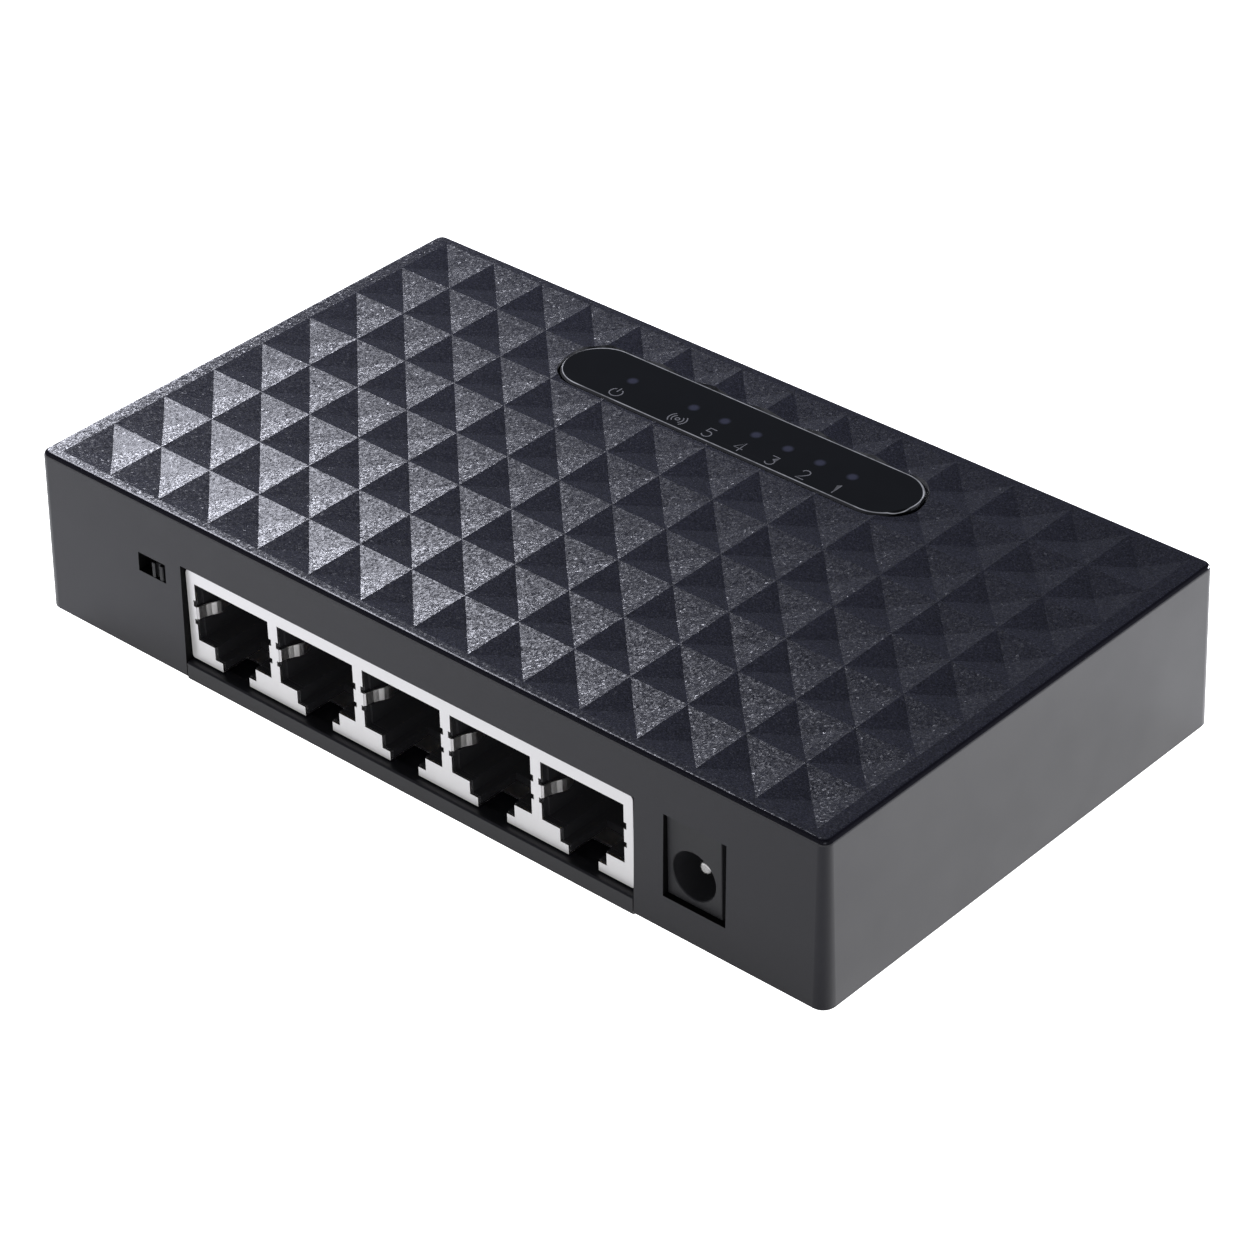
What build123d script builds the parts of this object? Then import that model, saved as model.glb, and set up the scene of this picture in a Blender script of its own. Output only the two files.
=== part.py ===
from build123d import *
import math
import os

# Desktop network switch, millimetres. The origin is the centre of the bounding box's bottom
# face. The ports open towards -Y (the front), the row of ports runs along +X towards the
# power jack, and +Z is up. The circuit board hangs under the lid, its parts on its underside.


# ---- helpers: positions -----------------------------------------------------
def row(count, pitch, centre=0.0):
    """Evenly pitched positions about a centre."""
    return [centre + (k - (count - 1) / 2) * pitch for k in range(count)]


def corners(x, y):
    """Four places mirrored about both axes."""
    return [(sx * x, sy * y) for sy in (-1, 1) for sx in (-1, 1)]


# ---- driving dimensions -----------------------------------------------------
FOOT_H = 1.0                   # how far the feet stand below the cover
SKIRT_Z = 1.25                 # lower edge of the upper housing
TOP_Z = 23.75                  # highest surface: rim and facet ridges
BODY_W, BODY_D = 124.5, 71.9   # outline at the skirt
DRAFT = 0.6                    # inward lean of every wall from skirt to lid
TAPER = math.degrees(math.atan(DRAFT / (TOP_Z - SKIRT_Z)))
WALL = 1.7                     # side wall thickness
CORNER_R = 1.8                 # upright corner radius
EDGE_R = 0.7                   # lid edge radius
LID = 2.1                      # lid thickness at the ridges
LID_IN = TOP_Z - LID           # inside surface of the lid

CELL = 8.45                    # side of one square facet cell on the lid
CELLS_X, CELLS_Y = 14, 8
FACET_DEPTH = 0.70             # depth of each sunken pyramid

BOARD_Z0, BOARD_T = 16.95, 1.2     # board underside and thickness
BOARD_Z1 = BOARD_Z0 + BOARD_T
SEAT_GAP = 0.02                    # between the underside and the parts on it
SEAT_Z = BOARD_Z0 - SEAT_GAP

# openings in the front wall
FRONT_CUT = (-40, -33.5)           # Y range that passes through the wall
CUT_X0, CUT_X1, CUT_Z1 = -37.45, 34.65, 17.15                      # ports
DC_X0, DC_X1, DC_Z0, DC_Z1 = 38.95, 48.0, 5.95, 17.0               # power jack
WIN_X0, WIN_X1, WIN_Z0, WIN_Z1 = -44.85, -40.15, 13.5, 16.1        # slide switch

# indicators
LENS_CX, LENS_CY = 0.15, 23.0
POCKET_L, POCKET_W, POCKET_DEPTH = 56.0, 11.0, 1.35
POCKET_Z = TOP_Z - POCKET_DEPTH    # floor of the lens pocket
LED_X = [-17.3, -7.3, -2.3, 2.7, 7.7, 12.7, 17.7]
LED_Y = 23.05

# fixings, as x, y
CASE_SCREWS = corners(55.0, 28.6)
BOARD_SCREWS = [(-47.0, 25.0), (47.0, 25.0), (-53.0, -16.0), (53.0, -14.0)]
FEET = corners(44.5, 28.0)
FOOT_R = 4.5
KEYHOLES = [(-40.0, 0.0), (40.0, 0.0)]


# ---- helpers: shapes --------------------------------------------------------
def box(x0, x1, y0, y1, z0, z1):
    """Box between two bounds on each axis, given in either order."""
    centre = Pos((x0 + x1) / 2, (y0 + y1) / 2, (z0 + z1) / 2)
    return centre * Box(abs(x1 - x0), abs(y1 - y0), abs(z1 - z0))


def box_x(x, width, y0, y1, z0, z1):
    """Box centred on x."""
    return box(x - width / 2, x + width / 2, y0, y1, z0, z1)


def box_xy(x, y, width, depth, z0, z1):
    """Box centred on x and y."""
    return box_x(x, width, y - depth / 2, y + depth / 2, z0, z1)


def hung(x, y, width, depth, height, gap=SEAT_GAP):
    """Box that hangs under the board with a gap above it."""
    return box_xy(x, y, width, depth, BOARD_Z0 - gap - height, BOARD_Z0 - gap)


def cyl(x, y, z0, z1, r):
    return Pos(x, y, (z0 + z1) / 2) * Cylinder(r, z1 - z0)


def cyl_y(x, z, y0, y1, r):
    return Pos(x, (y0 + y1) / 2, z) * Rot(90, 0, 0) * Cylinder(r, y1 - y0)


def rounded_disc(x, y, z0, z1, r, edge_r):
    """Upright cylinder with its lower edge rounded."""
    disc = cyl(x, y, z0, z1, r)
    circles = disc.edges().filter_by(GeomType.CIRCLE)
    return fillet([e for e in circles if e.center().Z < z0 + 0.05], edge_r)


def rounded_plate(width, depth, r, z0, height):
    return extrude(Plane.XY.offset(z0) * RectangleRounded(width, depth, r), height)


def drafted(width, depth, r, z0, z1):
    """Rounded block that leans inward with the wall draft; sizes are at z0."""
    return extrude(Plane.XY.offset(z0) * RectangleRounded(width, depth, r), z1 - z0, taper=TAPER)


def stadium(length, width, z0, z1, cx, cy):
    return extrude(Plane.XY.offset(z0) * Pos(cx, cy) * SlotOverall(length, width), z1 - z0)


def ribbon(points, thickness):
    """Outline of a bent strip about a centre line, mitred at its corners."""
    normals = []
    for (u0, v0), (u1, v1) in zip(points, points[1:]):
        length = math.hypot(u1 - u0, v1 - v0)
        normals.append(((v0 - v1) / length, (u1 - u0) / length))
    left, right = [], []
    for (u, v), before, after in zip(points, normals[:1] + normals, normals + normals[-1:]):
        mitre_u, mitre_v = before[0] + after[0], before[1] + after[1]
        reach = thickness / 2 / (mitre_u * before[0] + mitre_v * before[1])
        left.append((u + mitre_u * reach, v + mitre_v * reach))
        right.append((u - mitre_u * reach, v - mitre_v * reach))
    return left + right[::-1]


def band_yz(points, thickness, x0, x1):
    """Bent strip: a centre line in the YZ plane, running from x0 to x1."""
    outline = Polyline(*[(x0, y, z) for y, z in ribbon(points, thickness)], close=True)
    return extrude(make_face(outline), x1 - x0, dir=(1, 0, 0))


def band_xy(points, thickness, z0, z1):
    """Bent strip: a centre line in the XY plane, running from z0 to z1."""
    outline = Polyline(*[(x, y, z0) for x, y in ribbon(points, thickness)], close=True)
    return extrude(make_face(outline), z1 - z0, dir=(0, 0, 1))


def edges_at_z(shape, z):
    return shape.edges().filter_by_position(Axis.Z, z - 0.01, z + 0.01)


def edges_at_y(shape, y):
    return [e for e in shape.edges() if abs(e.center().Y - y) < 0.01]


def collect(*shapes):
    """The only solid of the shapes, or a compound of all their solids."""
    solids = [s for shape in shapes for s in shape.solids()]
    return solids[0] if len(solids) == 1 else Compound(children=solids)


# ---- upper housing ----------------------------------------------------------
CASE_BOSS_R, CASE_BOSS_Z0 = 3.1, 4.1
BOARD_BOSS_R = 2.6
RIB_T, RIB_H = 1.0, 1.6
RIB_X, RIB_Y = (-36.0, 36.0), (-12.0, 6.0)


def facet_tool():
    """Closed solid whose underside is the field of sunken four-sided pyramids."""
    roof_z = TOP_Z + 1.0
    xs = [(i - CELLS_X / 2) * CELL for i in range(CELLS_X + 1)]
    ys = [(j - CELLS_Y / 2) * CELL for j in range(CELLS_Y + 1)]
    x0, x1, y0, y1 = xs[0], xs[-1], ys[0], ys[-1]
    faces = []

    def add_face(*points):
        faces.append(Face(Wire.make_polygon([Vector(*p) for p in points], close=True)))

    for left, right in zip(xs, xs[1:]):
        for front, back in zip(ys, ys[1:]):
            apex = ((left + right) / 2, (front + back) / 2, TOP_Z - FACET_DEPTH)
            ring = [(left, front, TOP_Z), (right, front, TOP_Z),
                    (right, back, TOP_Z), (left, back, TOP_Z)]
            for k in range(4):
                add_face(ring[k], ring[(k + 1) % 4], apex)
    add_face((x0, y0, roof_z), (x1, y0, roof_z), (x1, y1, roof_z), (x0, y1, roof_z))
    for y in (y0, y1):
        add_face(*[(x, y, TOP_Z) for x in xs], (x1, y, roof_z), (x0, y, roof_z))
    for x in (x0, x1):
        add_face(*[(x, y, TOP_Z) for y in ys], (x, y1, roof_z), (x, y0, roof_z))
    return Solid(Shell(faces))


def housing_shell():
    outer = drafted(BODY_W, BODY_D, CORNER_R, SKIRT_Z, TOP_Z)
    outer = fillet(edges_at_z(outer, TOP_Z), EDGE_R)
    outer = chamfer(edges_at_z(outer, SKIRT_Z), 0.2)
    shell = outer - drafted(BODY_W - 2 * WALL, BODY_D - 2 * WALL, 0.8, SKIRT_Z - 0.5, LID_IN)
    return shell - facet_tool()


def upper_housing():
    housing = housing_shell()
    root_z = LID_IN + 0.2      # ribs run slightly into the lid
    # long bosses for the case screws, each webbed to both walls of its corner
    for x, y in CASE_SCREWS:
        housing += cyl(x, y, CASE_BOSS_Z0, LID_IN + 0.3, CASE_BOSS_R)
        housing += box(x, x + math.copysign(5.2, x), y - 0.6, y + 0.6, 5.0, root_z)
        housing += box(x - 0.6, x + 0.6, y, y + math.copysign(5.4, y), 5.0, root_z)
    # short bosses that carry the board, each with a cross of ribs
    for x, y in BOARD_SCREWS:
        housing += cyl(x, y, BOARD_Z1, LID_IN + 0.3, BOARD_BOSS_R)
        housing += box_xy(x, y, 1.0, 9.2, BOARD_Z1 + 1.2, root_z)
        housing += box_xy(x, y, 9.2, 1.0, BOARD_Z1 + 1.2, root_z)
    # stiffening ribs under the lid
    for x in RIB_X:
        housing += box_x(x, RIB_T, -30.0, 18.0, LID_IN - RIB_H, root_z)
    for y in RIB_Y:
        housing += box(*RIB_X, y - RIB_T / 2, y + RIB_T / 2, LID_IN - RIB_H, root_z)
    # screw holes
    for x, y in CASE_SCREWS:
        housing -= cyl(x, y, 3.0, 15.0, 1.25)
    for x, y in BOARD_SCREWS:
        housing -= cyl(x, y, BOARD_Z1 - 1, 21.9, 1.15)
    # indicator pocket with light-post holes
    housing -= stadium(POCKET_L, POCKET_W, POCKET_Z, TOP_Z + 1, LENS_CX, LENS_CY)
    for x in LED_X:
        housing -= box_xy(x, LED_Y, 2.4, 2.4, LID_IN - 1, TOP_Z)
    # front wall openings
    housing -= box(CUT_X0, CUT_X1, *FRONT_CUT, -1, CUT_Z1)
    housing -= box(DC_X0, DC_X1, *FRONT_CUT, DC_Z0, DC_Z1)
    housing -= box(WIN_X0, WIN_X1, *FRONT_CUT, WIN_Z0, WIN_Z1)
    return collect(housing)


# ---- bottom cover -----------------------------------------------------------
COVER_GAP = 0.15               # clearance to the housing
COVER_W = BODY_W - 2 * WALL - 2 * COVER_GAP
COVER_D = BODY_D - 2 * WALL - 2 * COVER_GAP
COVER_T = 1.5
COVER_R = 0.65
STRIP_Z1 = 3.5                 # top of the front upstand
LIP_Z0, LIP_H, LIP_T = 2.4, 1.6, 1.2
VENT_X = row(9, 4.0)
VENT_Y = (11.5, -11.5)
VENT_L, VENT_W = 13.0, 1.7


def front_strip():
    """Upstand that closes the housing's front wall below the ports."""
    spread = 2 * (SKIRT_Z - FOOT_H) * math.tan(math.radians(TAPER))
    full = drafted(BODY_W + spread, BODY_D + spread, CORNER_R, FOOT_H, TOP_Z)
    strip = full & box(CUT_X0 + COVER_GAP, CUT_X1 - COVER_GAP, -40, -33.9, FOOT_H, STRIP_Z1)
    front_long = [e for e in strip.edges() if e.center().Y < -35.6 and e.length > 50]
    return chamfer(front_long, 0.2)


def locating_lip():
    """Upstand behind the walls, open at the ports and around the case screws."""
    lip = rounded_plate(COVER_W, COVER_D, COVER_R, LIP_Z0, LIP_H)
    lip -= rounded_plate(COVER_W - 2 * LIP_T, COVER_D - 2 * LIP_T, 0.5, 2.0, 3.0)
    lip -= box(CUT_X0 - 2.5, CUT_X1 + 2.5, -40, -25, 2.5, 6)
    for x, y in CASE_SCREWS:
        lip -= box_xy(x, y, 10.4, 13.0, 2.5, 6)
    return lip


def bottom_cover():
    cover = rounded_plate(COVER_W, COVER_D, COVER_R, FOOT_H, COVER_T)
    cover = chamfer(edges_at_z(cover, FOOT_H), 0.25)
    cover += front_strip()
    cover += locating_lip()
    for x, y in CASE_SCREWS:
        cover += cyl(x, y, 2.0, CASE_BOSS_Z0 - 0.05, 4.2)
    for x in VENT_X:
        for y in VENT_Y:
            slot = SlotOverall(VENT_L, VENT_W, rotation=90)
            cover -= Pos(x, y, FOOT_H + COVER_T / 2) * extrude(slot, 4, both=True)
    # screw holes with counterbores
    for x, y in CASE_SCREWS:
        cover -= cyl(x, y, 0, 6, 1.45)
        cover -= cyl(x, y, 0, 2.75, 2.9)
    for x, y in FEET:
        cover -= cyl(x, y, 0, FOOT_H + 0.6, FOOT_R + 0.2)
    # keyhole slots for hanging the switch on two wall screws
    for x, y in KEYHOLES:
        cover -= cyl(x, y - 3.0, 0, 6, 3.6)
        cover -= Pos(x, y + 0.5, 0) * extrude(Plane.XY * SlotOverall(11.0, 3.8, rotation=90), 6)
    # shallow label recess
    cover -= box_xy(0, 0, 54.0, 7.2, 0, FOOT_H + 0.15)
    return collect(cover)


# ---- indicators -------------------------------------------------------------
LENS_L, LENS_W, LENS_Z1 = 55.2, 10.2, TOP_Z - 0.05
LENS_BEVEL = 0.3
# x, y of the area trimmed off the lens at its +X, -Y corner
LENS_TRIM = [(24.95, 17.0), (27.85, 22.4), (29.5, 22.4), (29.5, 17.0)]


def indicator_lens():
    """Lens with moulded light posts."""
    outline = Pos(LENS_CX, LENS_CY) * SlotOverall(LENS_L, LENS_W)
    outline -= make_face(Polyline(*LENS_TRIM, close=True))
    bevel_z = LENS_Z1 - LENS_BEVEL
    lens = extrude(Plane.XY.offset(POCKET_Z) * outline, bevel_z - POCKET_Z)
    lens += extrude(Plane.XY.offset(bevel_z) * outline, LENS_BEVEL, taper=45)
    for x in LED_X:
        lens += box_xy(x, LED_Y, 2.2, 2.2, 19.1, POCKET_Z + 0.1)
    return collect(lens)


def light_baffle():
    """Block between board and lid with a shaft for each light post."""
    baffle = box(-20.0, 20.4, LED_Y - 2.2, LED_Y + 2.2, BOARD_Z1, LID_IN)
    for x in LED_X:
        baffle -= box_xy(x, LED_Y, 2.6, 2.6, 15, 25)
    return collect(baffle)


def status_leds():
    return collect(*[
        box_xy(x, LED_Y, 1.6, 0.8, BOARD_Z1, BOARD_Z1 + 0.35)
        + box_xy(x, LED_Y, 1.1, 0.8, BOARD_Z1 + 0.35, BOARD_Z1 + 0.65)
        for x in LED_X])


# ---- circuit board ----------------------------------------------------------
def circuit_board():
    board = box(-57.6, 57.6, -33.0, 30.5, BOARD_Z0, BOARD_Z1)
    # corner notches clear the case-screw bosses
    for x, y in CASE_SCREWS:
        sx, sy = math.copysign(1, x), math.copysign(1, y)
        board -= box(x - sx * 4.2, x + sx * 9, y - sy * 4.2, y + sy * 9, 10, 25)
    for x, y in BOARD_SCREWS:
        board -= cyl(x, y, 10, 25, 1.4)
    return collect(board)


# ---- shielded port block ----------------------------------------------------
BLOCK_X = -1.70                    # centre of the port row
PORT_X = row(5, 14.0, BLOCK_X)
PLATE_Y = -34.9                    # front of the shield plate
SHIELD_W, SHIELD_D = 71.3, 15.6
SHIELD_Z0, SHIELD_Z1 = 3.75, 16.9
SHEET = 0.3
# each port opening narrows downwards in three steps: full width, middle, latch
OPEN_W, OPEN_Z0, OPEN_Z1 = 12.45, 6.83, 14.86
MID_W, MID_Z0 = 7.0, 5.08
LATCH_W = 4.55
NOTCH_Z = ((11.55, 12.45), (9.05, 9.75))   # small notches in the opening's sides
# spring finger centre line: distance in from the opening's edge, depth behind the plate front
FINGER_PATH = [
    (-0.30, 0.12), (-0.04, 0.14), (0.12, 0.28), (0.18, 0.7), (0.30, 1.3), (0.58, 1.95),
    (0.90, 2.5), (1.08, 3.0), (1.10, 3.4), (0.98, 3.95), (0.72, 4.6), (0.46, 5.3)]

INNER_Y0 = PLATE_Y + SHEET + 0.03          # front of the plastic port housing
INNER_Y1 = PLATE_Y + SHIELD_D - SHEET - 0.05
INNER_Z0 = SHIELD_Z0 + SHEET + 0.03
CAVITY_D = 12.4
# cuts for each port: width, start and end depth behind the front, z0, z1
PORT_CUTS = [
    (12.84, -1, 7.0, 9.5, 11.8),                                   # room for the fingers
    (11.9, -1, CAVITY_D, OPEN_Z0 + 0.1, OPEN_Z1 - 0.15),           # main cavity
    (12.4, -1, 0.7, OPEN_Z0 + 0.02, OPEN_Z1 - 0.05),               # wider mouth
    (6.6, -1, 10.0, MID_Z0 + 0.1, OPEN_Z0 + 0.2),                  # middle step
    (4.3, -1, 6.0, INNER_Z0 - 1, MID_Z0 + 0.2),                    # latch step
    (9.2, 1.6, CAVITY_D + 1.2, 13.0, SEAT_Z + 1),                  # roof slot for the insert
]

CONTACTS, CONTACT_PITCH = 8, 1.02
CONTACT_W, CONTACT_T = 0.45, 0.34
CONTACT_SLOT_W = 0.54
# contact centre line: depth behind the housing front, z
CONTACT_PATH = [
    (12.3, SEAT_Z), (12.3, 15.75), (3.0, 15.75), (2.45, 15.2), (2.6, 14.55), (10.2, 12.95)]


def port_shield():
    """Thin metal shell, open at the top, with two spring fingers in each port."""
    y0, y1 = PLATE_Y, PLATE_Y + SHIELD_D
    shield = box_x(BLOCK_X, SHIELD_W, y0, y1, SHIELD_Z0, SHIELD_Z1)
    along_y = shield.edges().filter_by(Axis.Y)
    shield = fillet([e for e in along_y if e.center().Z > SHIELD_Z1 - 0.1], 1.1)
    along_y = shield.edges().filter_by(Axis.Y)
    shield = fillet([e for e in along_y if e.center().Z < SHIELD_Z0 + 0.1], 0.45)
    shield = fillet(edges_at_y(shield, y0), 0.12)
    shield -= box_x(BLOCK_X, SHIELD_W - 2 * SHEET, y0 + SHEET, y1 - SHEET,
                    SHIELD_Z0 + SHEET, SHIELD_Z1 + 1)
    for port_x in PORT_X:
        shield -= box_x(port_x, OPEN_W, y0 - 1, y0 + 1, OPEN_Z0, OPEN_Z1)
        shield -= box_x(port_x, MID_W, y0 - 1, y0 + 1, MID_Z0, OPEN_Z0 + 0.1)
        shield -= box_x(port_x, LATCH_W, y0 - 1, y0 + 4.0, SHIELD_Z0 - 1, MID_Z0 + 0.1)
        for side in (-1, 1):
            edge_x = port_x + side * OPEN_W / 2
            for z0, z1 in NOTCH_Z:
                shield -= box(edge_x - side * 0.1, edge_x + side * 0.38, y0 - 1, y0 + 1, z0, z1)
            path = [(edge_x - side * inset, y0 + depth) for inset, depth in FINGER_PATH]
            shield += band_xy(path, 0.2, 9.8, 11.5)
    return collect(shield)


def port_housing():
    body = box_x(BLOCK_X, SHIELD_W - 2 * (SHEET + 0.05), INNER_Y0, INNER_Y1, INNER_Z0, SEAT_Z)
    for port_x in PORT_X:
        for width, start, end, z0, z1 in PORT_CUTS:
            body -= box_x(port_x, width, INNER_Y0 + start, INNER_Y0 + end, z0, z1)
    return collect(body)


def port_contacts():
    path = [(INNER_Y0 + depth, z) for depth, z in CONTACT_PATH]
    return collect(*[
        band_yz(path, CONTACT_T, x - CONTACT_W / 2, x + CONTACT_W / 2)
        for port_x in PORT_X for x in row(CONTACTS, CONTACT_PITCH, port_x)])


def contact_inserts():
    """L-shaped carriers that hold the contacts in the roof of each port."""
    y, back = INNER_Y0, INNER_Y0 + CAVITY_D + 1.1
    inserts = []
    for port_x in PORT_X:
        insert = box_x(port_x, 9.0, y + 1.75, back, 15.1, SEAT_Z)
        insert += box_x(port_x, 9.0, y + 10.9, back, 13.1, 15.2)
        insert -= box_x(port_x, 8.0, y + 1.0, y + 3.6, 14.0, 16.2)
        for x in row(CONTACTS, CONTACT_PITCH, port_x):
            insert -= box_x(x, CONTACT_SLOT_W, y + 1.0, y + 12.55, 15.5, 16.0)
            insert -= box_x(x, CONTACT_SLOT_W, y + 12.05, y + 12.55, 15.4, 18)
        inserts.append(insert)
    return collect(*inserts)


# ---- power jack -------------------------------------------------------------
DC_CX, DC_CZ = 42.9, 10.1          # bore axis
DC_BORE_R, DC_PIN_R, DC_REAR_R = 3.1, 1.0, 3.95
DC_Y, DC_DEPTH = -35.1, 13.8       # front face and length
DC_BACK = DC_Y + DC_DEPTH
DC_FACE_X0, DC_FACE_X1, DC_FACE_Z0 = 39.02, 46.97, 6.02
DC_FACE_D = 3.4
# side spring centre line: y, z
DC_SPRING_PATH = [
    (DC_Y + 12.6, SEAT_Z), (DC_Y + 12.6, DC_CZ + 4.2), (DC_Y + 9.5, DC_CZ + 3.75),
    (DC_Y + 6.6, DC_CZ + 2.55), (DC_Y + 4.6, DC_CZ + 3.5)]


def dc_jack_housing():
    face_back, rear_y = DC_Y + DC_FACE_D, DC_Y + 3.3
    jack = box(DC_FACE_X0, DC_FACE_X1, DC_Y, face_back, DC_FACE_Z0, SEAT_Z)
    jack = fillet(edges_at_y(jack, DC_Y), 0.15)
    rear = box_x(DC_CX, 2 * DC_REAR_R, rear_y, DC_BACK, DC_CZ, SEAT_Z)
    jack += rear + cyl_y(DC_CX, DC_CZ, rear_y, DC_BACK, DC_REAR_R)
    # wider shoulder behind the wall
    jack += box(38.2, 47.9, -33.7, face_back, DC_FACE_Z0, SEAT_Z)
    jack -= cyl_y(DC_CX, DC_CZ, DC_Y - 1, DC_Y + 10.2, DC_BORE_R)
    jack -= cyl_y(DC_CX, DC_CZ, DC_Y + 10, DC_BACK + 1, DC_PIN_R + 0.02)
    rim = [e for e in jack.edges().filter_by(GeomType.CIRCLE)
           if abs(e.center().Y - DC_Y) < 0.3 and abs(e.radius - DC_BORE_R) < 0.01]
    jack = chamfer(rim, 0.12)
    # channel for the spring, then the slot for its leg
    jack -= box_x(DC_CX, 2.2, DC_Y + 4.0, DC_BACK - 1.0, DC_CZ + 2.2, DC_CZ + 4.6)
    jack -= box_x(DC_CX, 2.2, DC_Y + 12.3, DC_Y + 12.9, DC_CZ + 3.9, 18)
    return collect(jack)


def dc_jack_pin():
    pin = cyl_y(DC_CX, DC_CZ, DC_Y + 1.8, DC_BACK + 0.35, DC_PIN_R)
    circles = pin.edges().filter_by(GeomType.CIRCLE)
    return collect(fillet([e for e in circles if e.center().Y < DC_Y + 1.9], 0.55))


def dc_jack_terminals():
    """Spring above the bore, and the tab around the pin at the back."""
    spring = band_yz(DC_SPRING_PATH, 0.3, DC_CX - 0.9, DC_CX + 0.9)
    tab = box_x(DC_CX, 2.8, DC_BACK + 0.02, DC_BACK + 0.32, DC_CZ - 1.9, SEAT_Z)
    tab -= cyl_y(DC_CX, DC_CZ, DC_BACK - 1, DC_BACK + 1, DC_PIN_R + 0.02)
    return collect(spring, tab)


# ---- slide switch -----------------------------------------------------------
SLIDE_X = (WIN_X0 + WIN_X1) / 2
SLIDE_W = 8.6
SLIDE_Y0, SLIDE_Y1 = -33.75, -29.8
SLIDE_SHEET = 0.3
SLIDE_TRAVEL = 2.0
KNOB_W, KNOB_H = 1.95, 2.0
KNOB_Z0 = WIN_Z0 + 0.10
KNOB_Z1 = KNOB_Z0 + KNOB_H
KNOB_CZ = (KNOB_Z0 + KNOB_Z1) / 2
SLIDE_Z0 = KNOB_CZ - 2.15
# the thumb piece rests at its +X stop and travels towards -X
KNOB_X = SLIDE_X + SLIDE_TRAVEL / 2 - 0.05
TERMINAL_X = row(3, 2.5, SLIDE_X)
# wiper centre line: x from the knob's centre, depth behind the frame front
WIPER_PATH = [
    (-1.55, 1.95), (-1.0, 2.12), (-0.5, 1.75), (0, 1.45), (0.5, 1.75), (1.0, 2.12), (1.55, 1.95)]


def slide_box(x, width, y0, y1, half_h):
    """Box centred on x and on the knob's height."""
    return box_x(x, width, y0, y1, KNOB_CZ - half_h, KNOB_CZ + half_h)


def slide_switch_frame():
    frame = box_x(SLIDE_X, SLIDE_W, SLIDE_Y0, SLIDE_Y1, SLIDE_Z0, SEAT_Z)
    frame -= box_x(SLIDE_X, SLIDE_W - 2 * SLIDE_SHEET, SLIDE_Y0 + SLIDE_SHEET, SLIDE_Y1 + 1,
                   SLIDE_Z0 + SLIDE_SHEET, SEAT_Z - SLIDE_SHEET)
    frame -= slide_box(SLIDE_X, 4.8, SLIDE_Y0 - 1, SLIDE_Y0 + 1, 0.95)
    # lower back corners of both ends cut away; the cuts reach only 0.1 into the sheet
    for side in (-1, 1):
        x = SLIDE_X + side * SLIDE_W / 2
        frame -= box(x - side * 0.1, x + side, SLIDE_Y1 - 1.2, SLIDE_Y1 + 1,
                     KNOB_CZ - 3, KNOB_CZ - 0.8)
    return collect(frame)


def slide_switch_knob():
    knob = box_x(KNOB_X, KNOB_W, -35.6, SLIDE_Y0 - 0.15, KNOB_Z0, KNOB_Z1)
    upright = knob.edges().filter_by(Axis.Z)
    knob = fillet([e for e in upright if e.center().Y < -35.5], 0.15)
    # groove in the thumb face, neck, carriage, and recess in the carriage's back
    knob -= box_x(KNOB_X, 0.78, -36, -35.25, KNOB_Z0 - 1, KNOB_Z1 + 1)
    knob += slide_box(KNOB_X, 1.8, SLIDE_Y0 - 0.25, SLIDE_Y0 + 0.6, 0.85)
    knob += slide_box(KNOB_X, 4.4, SLIDE_Y0 + 0.36, SLIDE_Y0 + 1.9, 1.75)
    knob -= slide_box(KNOB_X, 3.2, SLIDE_Y0 + 1.3, SLIDE_Y0 + 2.5, 1.1)
    return collect(knob)


def slide_switch_wiper():
    path = [(KNOB_X + dx, SLIDE_Y0 + depth) for dx, depth in WIPER_PATH]
    return collect(band_xy(path, 0.12, KNOB_CZ - 0.8, KNOB_CZ + 0.8))


def slide_switch_base():
    inset = SLIDE_SHEET + 0.03
    base = box_x(SLIDE_X, SLIDE_W - 2 * inset, SLIDE_Y1 - 1.1, SLIDE_Y1 - 0.02,
                 SLIDE_Z0 + inset, SEAT_Z - inset)
    for x in TERMINAL_X:
        base -= slide_box(x, 0.84, SLIDE_Y1 - 2, SLIDE_Y1 + 1, 0.62)
    return collect(base)


def slide_switch_terminals():
    return collect(*[
        slide_box(x, 0.8, SLIDE_Y1 - 1.7, SLIDE_Y1 + 0.25, 0.6)
        + box_x(x, 0.8, SLIDE_Y1 + 0.05, SLIDE_Y1 + 0.35, KNOB_CZ - 0.6, SEAT_Z)
        for x in TERMINAL_X])


# ---- parts under the board --------------------------------------------------
LEAD_W, LEAD_T = 0.3, 0.14
CHIP_X, CHIP_Y, CHIP_SIZE = 4.0, 6.5, 14.0
TRANSFORMER_Y, TRANSFORMER_D = -12.5, 7.2
MEMORY_XY, REGULATOR_XY = (-14.0, 17.5), (33.0, 12.0)
SMALL_CHIP_SIZE = (4.9, 3.9, 1.5)
SMALL_LEAD_PITCH = 1.27
CRYSTAL_XY = (-14.0, 8.0)
INDUCTOR_XY = (42.0, 5.0)
# electrolytic capacitors: x, y, radius, can height
ELECTROLYTICS = [(42.0, -5.0, 3.15, 7.4), (33.5, 3.0, 3.15, 5.6), (24.0, 17.5, 2.5, 5.2)]


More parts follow.
